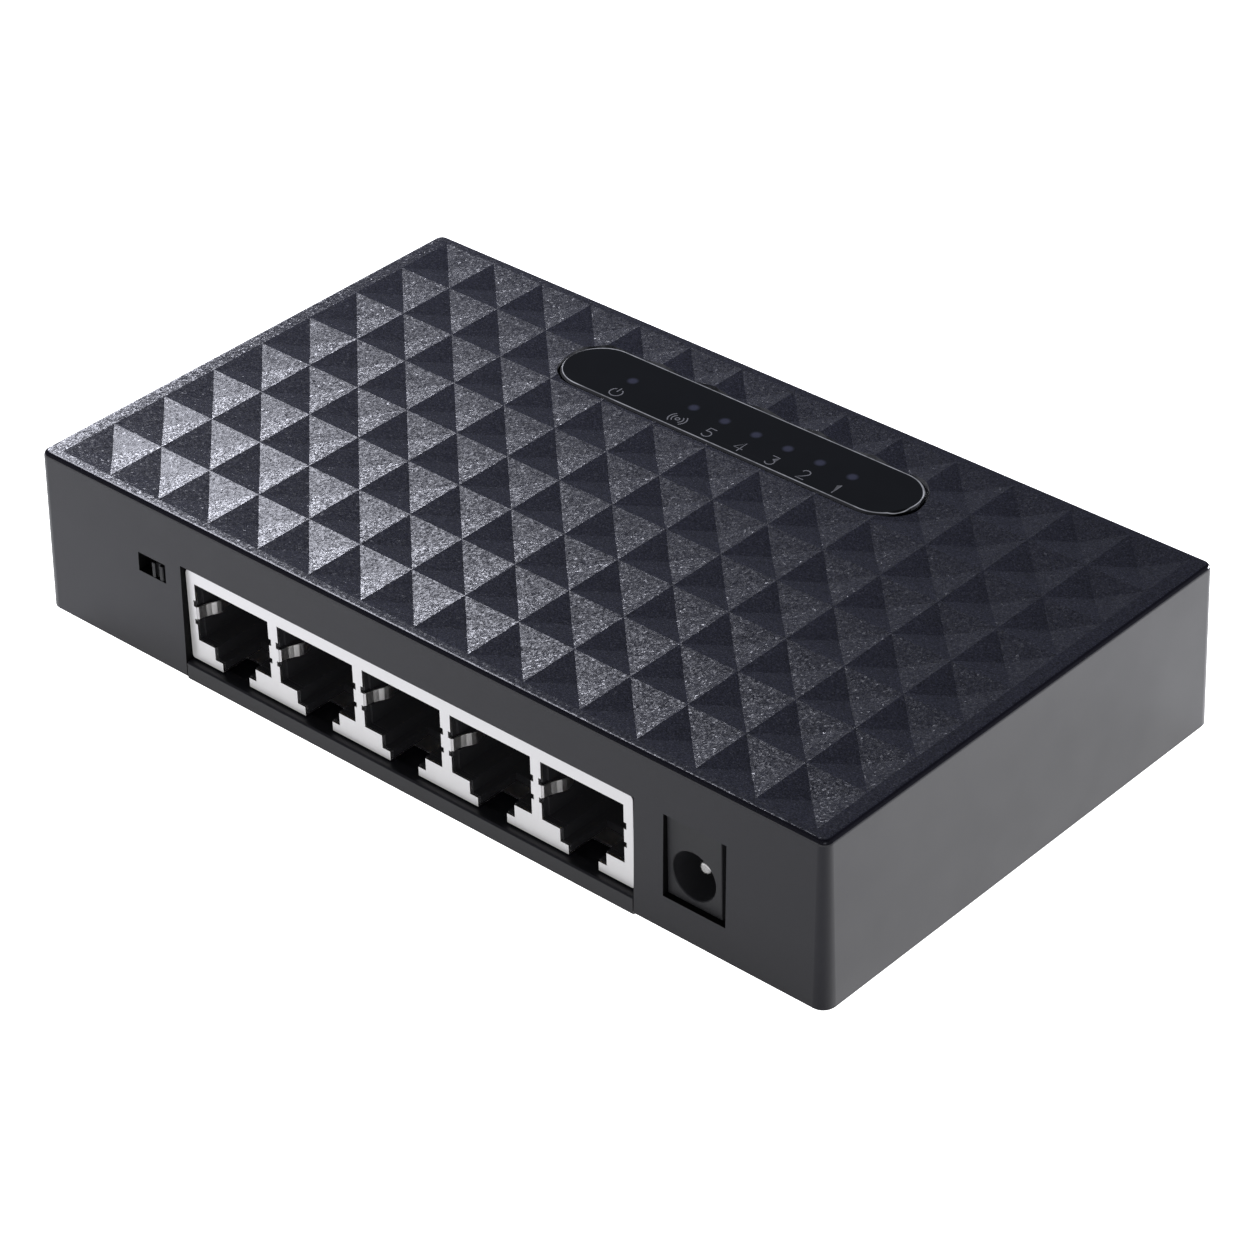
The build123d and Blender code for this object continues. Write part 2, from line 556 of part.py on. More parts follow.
def gull(x, y, dx, dy, drop, reach):
    """One lead: leaves the package side, drop below the board, and lands on the underside."""
    half_x, half_y = abs(dy) * LEAD_W / 2, abs(dx) * LEAD_W / 2
    z_mid = BOARD_Z0 - drop

    def stretch(start, end, z0, z1):
        """Part of the lead between two fractions of its reach."""
        a, b = start * reach, end * reach
        return box(x + dx * a - half_x, x + dx * b + half_x,
                   y + dy * a - half_y, y + dy * b + half_y, z0, z1)

    return (stretch(0, 0.45, z_mid - LEAD_T / 2, z_mid + LEAD_T / 2)
            + stretch(0.35, 0.45, z_mid - LEAD_T / 2, SEAT_Z)
            + stretch(0.35, 1, SEAT_Z - LEAD_T, SEAT_Z))


def two_lead_rows(cx, cy, depth, count, drop, reach):
    """Leads along the back and front sides of a package."""
    return [gull(x, cy + side * depth / 2, 0, side, drop, reach)
            for x in row(count, SMALL_LEAD_PITCH, cx) for side in (1, -1)]


def switch_chip():
    chip = hung(CHIP_X, CHIP_Y, CHIP_SIZE, CHIP_SIZE, 1.4, gap=0.12)
    return collect(chamfer(chip.edges().filter_by(Axis.Z), 0.5))


def switch_chip_leads():
    half = CHIP_SIZE / 2
    leads = []
    for shift in row(16, 0.8):
        for side in (1, -1):
            leads.append(gull(CHIP_X + side * half, CHIP_Y + shift, side, 0, 0.8, 1.0))
            leads.append(gull(CHIP_X + shift, CHIP_Y + side * half, 0, side, 0.8, 1.0))
    return collect(*leads)


def isolation_transformers():
    blocks = [hung(x, TRANSFORMER_Y, 12.4, TRANSFORMER_D, 5.2, gap=0.3) for x in PORT_X]
    return collect(*[chamfer(b.edges().filter_by(Axis.Z), 0.4) for b in blocks])


def transformer_leads():
    return collect(*[
        lead for x in PORT_X
        for lead in two_lead_rows(x, TRANSFORMER_Y, TRANSFORMER_D, 8, drop=1.4, reach=1.2)])


def crystal_can():
    can = stadium(10.6, 4.2, BOARD_Z0 - 3.6, BOARD_Z0 - 0.4, *CRYSTAL_XY)
    can += stadium(11.4, 4.9, BOARD_Z0 - 0.45, SEAT_Z, *CRYSTAL_XY)
    return collect(can)


def memory_chip():
    return collect(hung(*MEMORY_XY, *SMALL_CHIP_SIZE, gap=0.15))


def regulator_chip():
    return collect(hung(*REGULATOR_XY, *SMALL_CHIP_SIZE, gap=0.15))


def small_chip_leads():
    return collect(*[
        lead for x, y in (MEMORY_XY, REGULATOR_XY)
        for lead in two_lead_rows(x, y, SMALL_CHIP_SIZE[1], 4, drop=0.9, reach=1.0)])


def power_inductor():
    block = Pos(*INDUCTOR_XY) * RectangleRounded(7.3, 7.3, 1.2)
    inductor = extrude(Plane.XY.offset(BOARD_Z0 - 4.5) * block, 4.48)
    inductor -= cyl(*INDUCTOR_XY, BOARD_Z0 - 5, BOARD_Z0 - 4.1, 2.6)
    return collect(inductor)


def electrolytic_capacitors():
    top = BOARD_Z0 - 1.0
    return collect(*[rounded_disc(x, y, top - h, top, r, 0.35) for x, y, r, h in ELECTROLYTICS])


def capacitor_bases():
    return collect(*[
        hung(x, y, 2 * r + 0.4, 2 * r + 0.4, 0.96, gap=0.03) for x, y, r, _ in ELECTROLYTICS])


def protection_diode():
    return collect(hung(50.5, -23.5, 2.6, 4.3, 2.2))


def ceramic_capacitors():
    """A row in front of the switch chip and a column on each side of it."""
    parts = [hung(-30.0 + 6.0 * k, -3.4, 1.6, 0.8, 0.8) for k in range(10)]
    for k in range(6):
        parts += [hung(x, 0.5 + 2.4 * k, 0.8, 1.6, 0.8) for x in (-5.8, 14.2)]
    return collect(*parts)


def chip_resistors():
    """A row in front of the capacitors and one behind the indicators."""
    parts = [hung(-33.0 + 5.5 * k, -5.6, 1.6, 0.8, 0.5, gap=0.05) for k in range(12)]
    parts += [hung(x + 0.1, 28.0, 0.8, 1.6, 0.5, gap=0.05) for x in LED_X]
    return collect(*parts)


# ---- screws, feet, label ----------------------------------------------------
def cross(x, y, z0, z1, width, length):
    """Cross-shaped driver recess."""
    return box_xy(x, y, length, width, z0, z1) + box_xy(x, y, width, length, z0, z1)


def board_screws():
    screws = []
    for x, y in BOARD_SCREWS:
        screw = rounded_disc(x, y, BOARD_Z0 - 1.5, BOARD_Z0 - 0.01, 2.1, 0.5)
        screw += cyl(x, y, BOARD_Z0 - 0.5, 21.3, 1.1)
        screws.append(screw - cross(x, y, BOARD_Z0 - 2, BOARD_Z0 - 0.8, 0.7, 2.3))
    return collect(*screws)


def case_screws():
    screws = []
    for x, y in CASE_SCREWS:
        screw = rounded_disc(x, y, 1.15, 2.73, 2.6, 0.55) + cyl(x, y, 2.5, 13.2, 1.2)
        screws.append(screw - cross(x, y, 0.5, 1.95, 0.8, 2.9))
    return collect(*screws)


def rubber_feet():
    return collect(*[rounded_disc(x, y, 0.0, FOOT_H + 0.58, FOOT_R, 0.4) for x, y in FEET])


def rating_label():
    return collect(rounded_plate(53.0, 6.4, 0.8, FOOT_H + 0.03, 0.11))


# ---- export: each file is named after the function that builds it -----------
PIECES = [
    upper_housing, bottom_cover, indicator_lens, light_baffle, circuit_board,
    port_shield, port_housing, port_contacts, contact_inserts,
    dc_jack_housing, dc_jack_pin, dc_jack_terminals,
    slide_switch_frame, slide_switch_knob, slide_switch_wiper, slide_switch_base,
    slide_switch_terminals, status_leds, switch_chip, switch_chip_leads,
    isolation_transformers, transformer_leads, crystal_can, memory_chip, regulator_chip,
    small_chip_leads, power_inductor, electrolytic_capacitors, capacitor_bases,
    protection_diode, ceramic_capacitors, chip_resistors,
    board_screws, case_screws, rubber_feet, rating_label,
]

os.makedirs("parts", exist_ok=True)
for build in PIECES:
    piece = build()
    piece.label = build.__name__
    export_step(piece, f"parts/{piece.label}.step")
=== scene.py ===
"""Desktop network switch: materials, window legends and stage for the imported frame.

Row frame: metres, +Z up, ports towards -Y. Names and comments give lengths in millimetres.
"""

import math

import bmesh
import bpy
from mathutils import Matrix, Vector


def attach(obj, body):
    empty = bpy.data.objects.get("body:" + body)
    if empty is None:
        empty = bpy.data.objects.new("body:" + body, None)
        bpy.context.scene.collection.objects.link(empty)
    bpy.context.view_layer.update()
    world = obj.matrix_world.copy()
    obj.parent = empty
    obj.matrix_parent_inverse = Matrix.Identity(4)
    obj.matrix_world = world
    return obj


MM = 0.001

# smoked window in the lid: a slot with round ends
WINDOW_X, WINDOW_Y = 0.15, 23.0
WINDOW_STRAIGHT = 22.5    # half length of the straight part
WINDOW_TOP = 23.70
PAINTED_RIM_GLOW_COLOR = (0.88, 0.90, 1.0)    # colour of the painted highlight glow round the window

# light posts under the window: power, activity, then ports 5 to 1
LED_PITCH = 5.0
LED_X = [-17.3 + LED_PITCH * step for step in (0, 2, 3, 4, 5, 6, 7)]
LED_Y = 23.05
LEGEND_Y = 19.75
SPOT_DX, LEGEND_DX = 0.2, 0.4     # painted glow spots and print lie a little towards +X of the posts
PRINT_BOTTOM = WINDOW_TOP - 0.02
PRINT_TOP = WINDOW_TOP + 0.015
STROKE_WIDTH = 0.15

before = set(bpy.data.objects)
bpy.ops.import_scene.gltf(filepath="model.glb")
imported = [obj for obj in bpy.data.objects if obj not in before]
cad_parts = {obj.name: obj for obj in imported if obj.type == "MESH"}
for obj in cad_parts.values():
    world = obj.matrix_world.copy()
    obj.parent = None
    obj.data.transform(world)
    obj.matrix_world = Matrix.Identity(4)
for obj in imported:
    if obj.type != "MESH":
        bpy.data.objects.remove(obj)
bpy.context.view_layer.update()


# ---------------------------------------------------------------- shader graph helpers
class Field:
    """One output of a shader node; arithmetic on it adds math nodes."""

    def __init__(self, shader, socket):
        self.shader = shader
        self.socket = socket

    def __add__(self, other):
        return self.shader.math("ADD", self, other)

    def __radd__(self, other):
        return self.shader.math("ADD", other, self)

    def __sub__(self, other):
        return self.shader.math("SUBTRACT", self, other)

    def __rsub__(self, other):
        return self.shader.math("SUBTRACT", other, self)

    def __mul__(self, other):
        return self.shader.math("MULTIPLY", self, other)

    def __abs__(self):
        return self.shader.math("ABSOLUTE", self)

    def swing(self, amount):
        """A 0 to 1 pattern moved to swing about zero, amount wide in all."""
        return (self - 0.5) * amount


class Shader:
    """Writes a material's node graph. Positions and sizes are in millimetres."""

    def __init__(self, name):
        self.material = bpy.data.materials.new(name)
        self.material.use_nodes = True
        self.tree = self.material.node_tree
        self.tree.nodes.clear()
        self.output = self.node("ShaderNodeOutputMaterial")
        self.coordinates = None
        self.place = None
        self.place_parts = None

    def put(self, socket, value):
        """Links a field or sets a value; None leaves the socket alone."""
        if isinstance(value, Field):
            self.tree.links.new(value.socket, socket)
        elif value is not None:
            is_rgb = socket.type == "RGBA" and len(value) == 3
            socket.default_value = (*value, 1.0) if is_rgb else value

    def node(self, kind, inputs=None, **props):
        node = self.tree.nodes.new(kind)
        for key, value in props.items():
            setattr(node, key, value)
        for key, value in (inputs or {}).items():
            self.put(node.inputs[key], value)
        return node

    def field(self, kind, inputs=None, output=0, **props):
        return Field(self, self.node(kind, inputs, **props).outputs[output])

    def coordinate(self, output):
        if self.coordinates is None:
            self.coordinates = self.node("ShaderNodeTexCoord")
        return Field(self, self.coordinates.outputs[output])

    def split(self, vector):
        node = self.node("ShaderNodeSeparateXYZ", {0: vector})
        return [Field(self, socket) for socket in node.outputs]

    def mm(self):
        if self.place is None:
            self.place = self.vector("SCALE", self.coordinate("Object"), scale=1000.0)
        return self.place

    def xyz(self):
        if self.place_parts is None:
            self.place_parts = self.split(self.mm())
        return self.place_parts

    def normal(self):
        return self.split(self.coordinate("Normal"))

    def math(self, operation, a, b=None, **props):
        return self.field("ShaderNodeMath", {0: a, 1: b}, operation=operation, **props)

    def vector(self, operation, a, b=None, scale=None):
        inputs = {0: a, 1: b}
        if scale is not None:
            inputs["Scale"] = scale
        return self.field("ShaderNodeVectorMath", inputs, operation=operation)

    def ramp(self, value, over, to=(0.0, 1.0), interpolation="SMOOTHSTEP"):
        """Goes from to[0] to to[1] while value goes from over[0] to over[1]."""
        inputs = {
            "Value": value,
            "From Min": over[0],
            "From Max": over[1],
            "To Min": to[0],
            "To Max": to[1],
        }
        return self.field(
            "ShaderNodeMapRange", inputs, "Result", interpolation_type=interpolation, clamp=True
        )

    def stretched(self, factors):
        return self.vector("MULTIPLY", self.mm(), factors)

    def noise(self, size, detail=2.0, rough=0.5, stretch=None):
        inputs = {
            "Vector": self.stretched(stretch) if stretch else self.mm(),
            "Scale": 1.0 / size,
            "Detail": detail,
            "Roughness": rough,
        }
        return self.field("ShaderNodeTexNoise", inputs, "Fac")

    def voronoi(self, size, output="Distance"):
        return self.field(
            "ShaderNodeTexVoronoi", {"Vector": self.mm(), "Scale": 1.0 / size}, output
        )

    def mix(self, mask, off, on):
        return self.field("ShaderNodeMix", {0: mask, 2: off, 3: on}, data_type="FLOAT")

    def blend(self, mask, off, on):
        """Colour mix."""
        return self.field("ShaderNodeMix", {0: mask, 6: off, 7: on}, 2, data_type="RGBA")

    def bump(self, height, depth, normal=None):
        inputs = {"Strength": 1.0, "Distance": depth * MM, "Height": height, "Normal": normal}
        return self.field("ShaderNodeBump", inputs)

    def edge(self, radius):
        """Normal with edges rounded to radius; None for a radius of zero."""
        if not radius:
            return None
        return self.field("ShaderNodeBevel", {"Radius": radius * MM}, samples=4)

    def grains(self, normal, mask, layers):
        """Leans the normal at random in each cell of every layer (cell size, lean)."""
        for size, lean in layers:
            color = self.voronoi(size, "Color")
            centred = self.vector("SUBTRACT", color, (0.5, 0.5, 0.5))
            # a few cells lean much further than the rest
            steep = self.math("GREATER_THAN", self.split(color)[2], 0.86)
            amount = mask * ((1.0 + steep * 1.4) * lean)
            tilt = self.vector("SCALE", centred, scale=amount)
            normal = self.vector("NORMALIZE", self.vector("ADD", normal, tilt))
        return normal

    def finish(self, base, rough, metallic=0.0, normal=None, ior=None, specular=None,
               subsurface=None, glow=(None, None)):
        """Closes the graph with a Principled surface; glow is (colour, strength)."""
        inputs = {
            "Base Color": base,
            "Roughness": rough,
            "Metallic": metallic,
            "Normal": normal,
            "IOR": ior,
            "Specular IOR Level": specular,
            "Subsurface Weight": subsurface,
            "Emission Color": glow[0],
            "Emission Strength": glow[1],
        }
        self.put(self.output.inputs["Surface"], self.field("ShaderNodeBsdfPrincipled", inputs))
        return self.material


def window_distance(m, x, y):
    """Distance from the window's middle line, and its part along Y."""
    along = m.math("MAXIMUM", abs(x - WINDOW_X) - WINDOW_STRAIGHT, 0.0)
    across = y - WINDOW_Y
    return m.math("SQRT", along * along + across * across), across


# ---------------------------------------------------------------- plastics
def housing_black(name):
    """Moulded black plastic: grained lid, polished lid edge, satin walls."""
    m = Shader(name)
    x, y, z = m.xyz()
    _, ny, nz = m.normal()
    high = m.ramp(z, over=(22.6, 22.8))
    lid = m.ramp(nz, over=(0.93, 0.975)) * high
    lid_edge = m.ramp(nz, over=(0.70, 0.85)) * m.ramp(nz, over=(0.98, 0.95)) * high
    wall = m.ramp(nz, over=(0.08, 0.3), to=(1.0, 0.0))
    # painted shade: the cut walls of the openings in the front wall are darkened and dulled
    shaded_opening = m.ramp(ny, over=(-0.5, -0.3)) * m.ramp(y, over=(-33.0, -33.4))
    shaded_opening = shaded_opening * m.ramp(abs(x), over=(60.0, 59.5))
    shaded_opening = shaded_opening * m.ramp(z, over=(22.0, 21.8), interpolation="LINEAR")

    satin = m.bump(m.noise(size=0.22, detail=2.0, rough=0.6) * wall, depth=0.006)
    normal = m.grains(satin, lid, layers=((0.26, 0.097), (0.16, 0.078)))

    patches = m.noise(size=6.0, detail=3.0, rough=0.55)
    clouds = m.noise(size=22.0, detail=2.0, rough=0.5)
    wall_rough = 0.40 + (patches.swing(0.10) + clouds.swing(0.08))
    lid_rough = 0.278 + m.noise(size=0.2, detail=1.0).swing(0.06)
    rough = m.mix(wall, off=0.14, on=wall_rough)
    rough = m.mix(lid, rough, lid_rough)
    rough = m.mix(shaded_opening, rough, on=0.7)

    ground = m.blend(
        m.ramp(m.noise(size=0.17, detail=1.0, rough=0.5), over=(0.36, 0.66)),
        off=(0.0074, 0.0075, 0.0126), on=(0.0250, 0.0255, 0.0415),
    )
    speck = m.ramp(m.noise(size=0.22, detail=0.0), over=(0.66, 0.74))
    base = m.blend(lid, off=(0.0100, 0.0092, 0.0145), on=ground)
    base = m.blend(speck * lid * 0.35, base, on=(0.10, 0.10, 0.12))
    # painted shade: near-black colour on the opening walls where shade falls
    base = m.blend(shaded_opening, base, on=(0.004, 0.004, 0.004))

    # painted highlight: the wall of the pocket round the window gets a faint glow
    distance, _ = window_distance(m, x, y)
    pocket = m.ramp(distance, over=(5.6, 5.3)) * m.ramp(nz, over=(0.6, 0.4))
    pocket = pocket * m.ramp(z, over=(22.9, 23.1))
    uneven = m.noise(size=3.0, detail=3.0, rough=0.7)
    painted_rim_glow = pocket * m.ramp(uneven, over=(0.3, 0.7), to=(0.02, 0.22))

    grain_specular = m.ramp(
        m.voronoi(0.19, "Color"), over=(0.0, 1.0), to=(0.27, 0.73), interpolation="LINEAR"
    )
    specular = m.mix(lid_edge, m.mix(shaded_opening, off=0.5, on=0.12), on=0.12)
    specular = m.mix(lid, specular, grain_specular)
    return m.finish(base, rough, normal=normal, ior=1.50, specular=specular,
                    glow=(PAINTED_RIM_GLOW_COLOR, painted_rim_glow))


def satin_plastic(name, base, rough, grain=0.22, depth=0.006, edge=0.07, painted_glow=None,
                  specular=None):
    """Fine-grained plastic; veil is the strength of a faint bluish painted glow."""
    m = Shader(name)
    patches = m.noise(size=5.0, detail=3.0, rough=0.55)
    normal = m.bump(m.noise(grain, detail=2.0, rough=0.6), depth, m.edge(edge))
    color = m.blend(m.ramp(patches, over=(0.3, 0.7)), base, tuple(v * 1.25 for v in base))
    # painted light: a faint bluish glow lightens the surface
    glow = ((0.9, 0.9, 1.0), painted_glow) if painted_glow else (None, None)
    return m.finish(color, rough + patches.swing(0.10), normal=normal, specular=specular,
                    glow=glow)


def smoked_lens(name):
    """Dark polished acrylic, faintly wavy and scratched, with a thin painted highlight line at
    the rim.
    """
    m = Shader(name)
    x, y, z = m.xyz()
    distance, across = window_distance(m, x, y)
    # painted highlight: a thin line near the rim is lightened and given a glow
    line_start = m.mix(m.ramp(across, over=(1.0, 4.0)), off=4.76, on=4.62)
    line = m.ramp(distance, over=(line_start, line_start + 0.05))
    line = line * m.ramp(distance, over=(4.84, 4.90), to=(1.0, 0.0))
    line = line * m.ramp(z, over=(23.4, 23.45))

    hair = m.noise(size=0.6, detail=2.0, rough=0.5, stretch=(0.05, 1.0, 1.0))
    scratch = m.ramp(hair, over=(0.70, 0.74)) * 0.10
    rough = 0.05 + m.noise(size=3.0, detail=3.0, rough=0.6) * 0.05 + scratch
    rim = m.ramp(distance, over=(4.78, 4.84)) * m.ramp(z, over=(23.2, 23.3))
    rough = m.mix(rim, rough, on=0.5)
    base = m.blend(
        m.ramp(m.noise(size=4.0, detail=2.0), over=(0.3, 0.7)),
        off=(0.0022, 0.0026, 0.0045), on=(0.0030, 0.0034, 0.0055),
    )
    # painted highlight: lighter colour under the line
    base = m.blend(line, base, on=(0.03, 0.03, 0.035))

    # the painted highlight line is brighter at the -X end
    end = 1.0 + m.ramp(x, over=(-20.0, -27.0)) * 1.2
    uneven = m.noise(size=2.5, detail=3.0, rough=0.7)
    painted_rim_glow = line * end * m.ramp(uneven, over=(0.3, 0.7), to=(0.14, 0.34))
    normal = m.bump(m.noise(size=9.0, detail=1.0, rough=0.4), depth=0.05)
    return m.finish(base, rough, normal=normal, ior=1.49, glow=(PAINTED_RIM_GLOW_COLOR, painted_rim_glow))


# ---------------------------------------------------------------- metals
def sheet_metal(m, base, rough, streak, depth, tarnish, share, edge):
    """Colour, roughness, normal and cloud pattern of drawn, unevenly tarnished metal.

    streak stretches the drawn lines in X, Y, Z; share is how far the tarnish covers.
    """
    lines = m.noise(size=0.35, detail=3.0, rough=0.6, stretch=streak)
    cloud = m.noise(size=4.5, detail=3.0, rough=0.6)
    color = m.blend(m.ramp(cloud, over=(0.35, 0.75)) * share, base, tarnish)
    roughness = rough + (lines.swing(0.12) + cloud.swing(0.12))
    return color, roughness, m.bump(lines, depth, m.edge(edge)), cloud


def brushed(name, **settings):
    m = Shader(name)
    color, rough, normal, _ = sheet_metal(m, **settings)
    return m.finish(color, rough, metallic=1.0, normal=normal)


def shield_plate(name):
    """Plated sheet: whitish and even on the front through a painted glow over a darker base
    colour, plain metal elsewhere.
    """
    m = Shader(name)
    _, y, _ = m.xyz()
    _, ny, _ = m.normal()
    front = m.ramp(ny, over=(-0.8, -0.95)) * m.ramp(y, over=(-34.70, -34.80))
    color, rough, normal, cloud = sheet_metal(
        m, base=(0.86, 0.84, 0.82), rough=0.34, streak=(0.12, 1.0, 3.0), depth=0.004,
        tarnish=(0.66, 0.63, 0.60), share=0.25, edge=0.04,
    )
    # painted light: the front gets a darker colour and a glow that stands in for even light on
    # the plate
    color = m.blend(front, color, on=(0.50, 0.495, 0.50))
    painted_front_glow = front * (0.27 + cloud * 0.05)
    return m.finish(color, rough, metallic=1.0, normal=normal, glow=((1.0, 0.99, 0.99), painted_front_glow))


def capacitor_aluminium(name):
    """Bright aluminium with dark patches on the faces that look down."""
    m = Shader(name)
    _, _, nz = m.normal()
    end = m.ramp(nz, over=(-0.9, -0.97))
    mark = end * m.ramp(m.noise(size=14.0, detail=0.0), over=(0.50, 0.51))
    turning = m.noise(size=0.25, detail=2.0, rough=0.6, stretch=(1.0, 1.0, 4.0))
    color = m.blend(mark * 0.85, off=(0.86, 0.86, 0.87), on=(0.02, 0.02, 0.022))
    return m.finish(color, 0.24 + turning * 0.12, metallic=1.0 - mark,
                    normal=m.bump(turning, depth=0.004))


# ---------------------------------------------------------------- board, label and small parts
def board_green(name):
    """Solder mask over copper: raised traces, darker laminate, tinned vias."""
    m = Shader(name)
    brick = {
        "Vector": m.stretched((1.0, 1.0, 0.0)),
        "Scale": 1.0,
        "Mortar Size": 0.09,
        "Mortar Smooth": 0.2,
        "Brick Width": 5.2,
        "Row Height": 0.62,
    }
    area = m.ramp(m.noise(size=9.0, detail=1.0), over=(0.46, 0.50))
    trace = (1.0 - m.field("ShaderNodeTexBrick", brick, "Fac")) * area
    via = m.ramp(m.voronoi(size=3.1), over=(0.09, 0.11), to=(1.0, 0.0))
    via = via * m.ramp(m.noise(size=7.0, detail=1.0), over=(0.50, 0.54))
    color = m.blend(trace, off=(0.006, 0.060, 0.026), on=(0.012, 0.115, 0.045))
    color = m.blend(via, color, on=(0.70, 0.66, 0.58))
    height = trace + m.noise(size=0.4, detail=2.0) * 0.2
    rough = 0.28 + m.noise(size=2.0, detail=2.0) * 0.12
    return m.finish(color, rough, metallic=via, normal=m.bump(height, depth=0.02))


def speckled(name, base, fleck, rough, size, share=(0.62, 0.70), depth=0.006, edge=0.04):
    """Dull body with flecks; share is the noise range over which a fleck appears."""
    m = Shader(name)
    flecks = m.noise(size, detail=2.0, rough=0.6)
    color = m.blend(m.ramp(flecks, over=share), base, fleck)
    shade = m.ramp(m.noise(size=1.6, detail=3.0), over=(0.4, 0.7)) * 0.3
    color = m.blend(shade, color, tuple(0.75 * v for v in base))
    return m.finish(color, rough + flecks.swing(0.15),
                    normal=m.bump(flecks, depth, m.edge(edge)))


def rating_label(name):
    """Blank printed label: matt film with a thin frame line."""
    m = Shader(name)
    x, y, _ = m.xyz()
    from_mid_x, from_mid_y = abs(x), abs(y)

    def box(half_x, half_y, blur=0.05):
        in_x = m.ramp(from_mid_x, over=(half_x, half_x + blur), to=(1.0, 0.0))
        return in_x * m.ramp(from_mid_y, over=(half_y, half_y + blur), to=(1.0, 0.0))

    inner = box(half_x=25.5, half_y=2.35)
    outer = box(half_x=25.75, half_y=2.6)
    line = m.math("SUBTRACT", outer, inner, use_clamp=True)
    fibre = m.noise(size=0.3, detail=3.0, rough=0.6)
    color = m.blend(line, off=(0.30, 0.30, 0.31), on=(0.04, 0.04, 0.045))
    color = m.blend(fibre * 0.15, color, on=(0.20, 0.20, 0.21))
    return m.finish(color, 0.42 + fibre * 0.1, normal=m.bump(fibre, depth=0.005))


def led_body(name):
    """Chip LED: milky resin, warm yellow above."""
    m = Shader(name)
    z = m.xyz()[2]
    cloud = m.noise(size=0.2, detail=2.0)
    color = m.blend(
        m.ramp(z, over=(18.62, 18.70)), off=(0.78, 0.78, 0.76), on=(0.85, 0.80, 0.50)
    )
    color = m.blend(cloud * 0.15, color, on=(0.6, 0.6, 0.58))
    return m.finish(color, 0.3 + cloud * 0.1, normal=m.bump(cloud, depth=0.005),
                    subsurface=0.2)


def legend_ink():
    """Pale print with a little painted glow."""
    m = Shader("legend_ink")
    base = (0.05, 0.05, 0.06)
    mottle = m.noise(size=0.18, detail=2.0, rough=0.7)
    color = m.blend(m.ramp(mottle, over=(0.35, 0.75)), base, tuple(v * 0.55 for v in base))
    # painted light: the glow keeps the print evenly bright
    return m.finish(color, 0.55 + mottle * 0.1, normal=m.bump(mottle, depth=0.004),
                    glow=((0.85, 0.87, 1.0), 0.085))


def light_spot():
    """Light post seen through the window: a painted lilac glow in the middle, gone at the rim.
    """
    m = Shader("light_spot")
    attribute = m.field("ShaderNodeAttribute", output="Fac", attribute_name="fade")
    fade = m.ramp(attribute, over=(0.0, 1.0))
    cloud = m.noise(size=0.3, detail=2.0)
    color = m.blend(fade, off=(0.0026, 0.0030, 0.0050), on=(0.008, 0.008, 0.016))
    # painted light: the post is given a faint glow; no lamp lights it
    strength = fade * (0.030 + cloud * 0.02)
    return m.finish(color, rough=0.07, normal=m.bump(cloud, depth=0.001), ior=1.49,
                    glow=((0.54, 0.58, 1.0), strength))


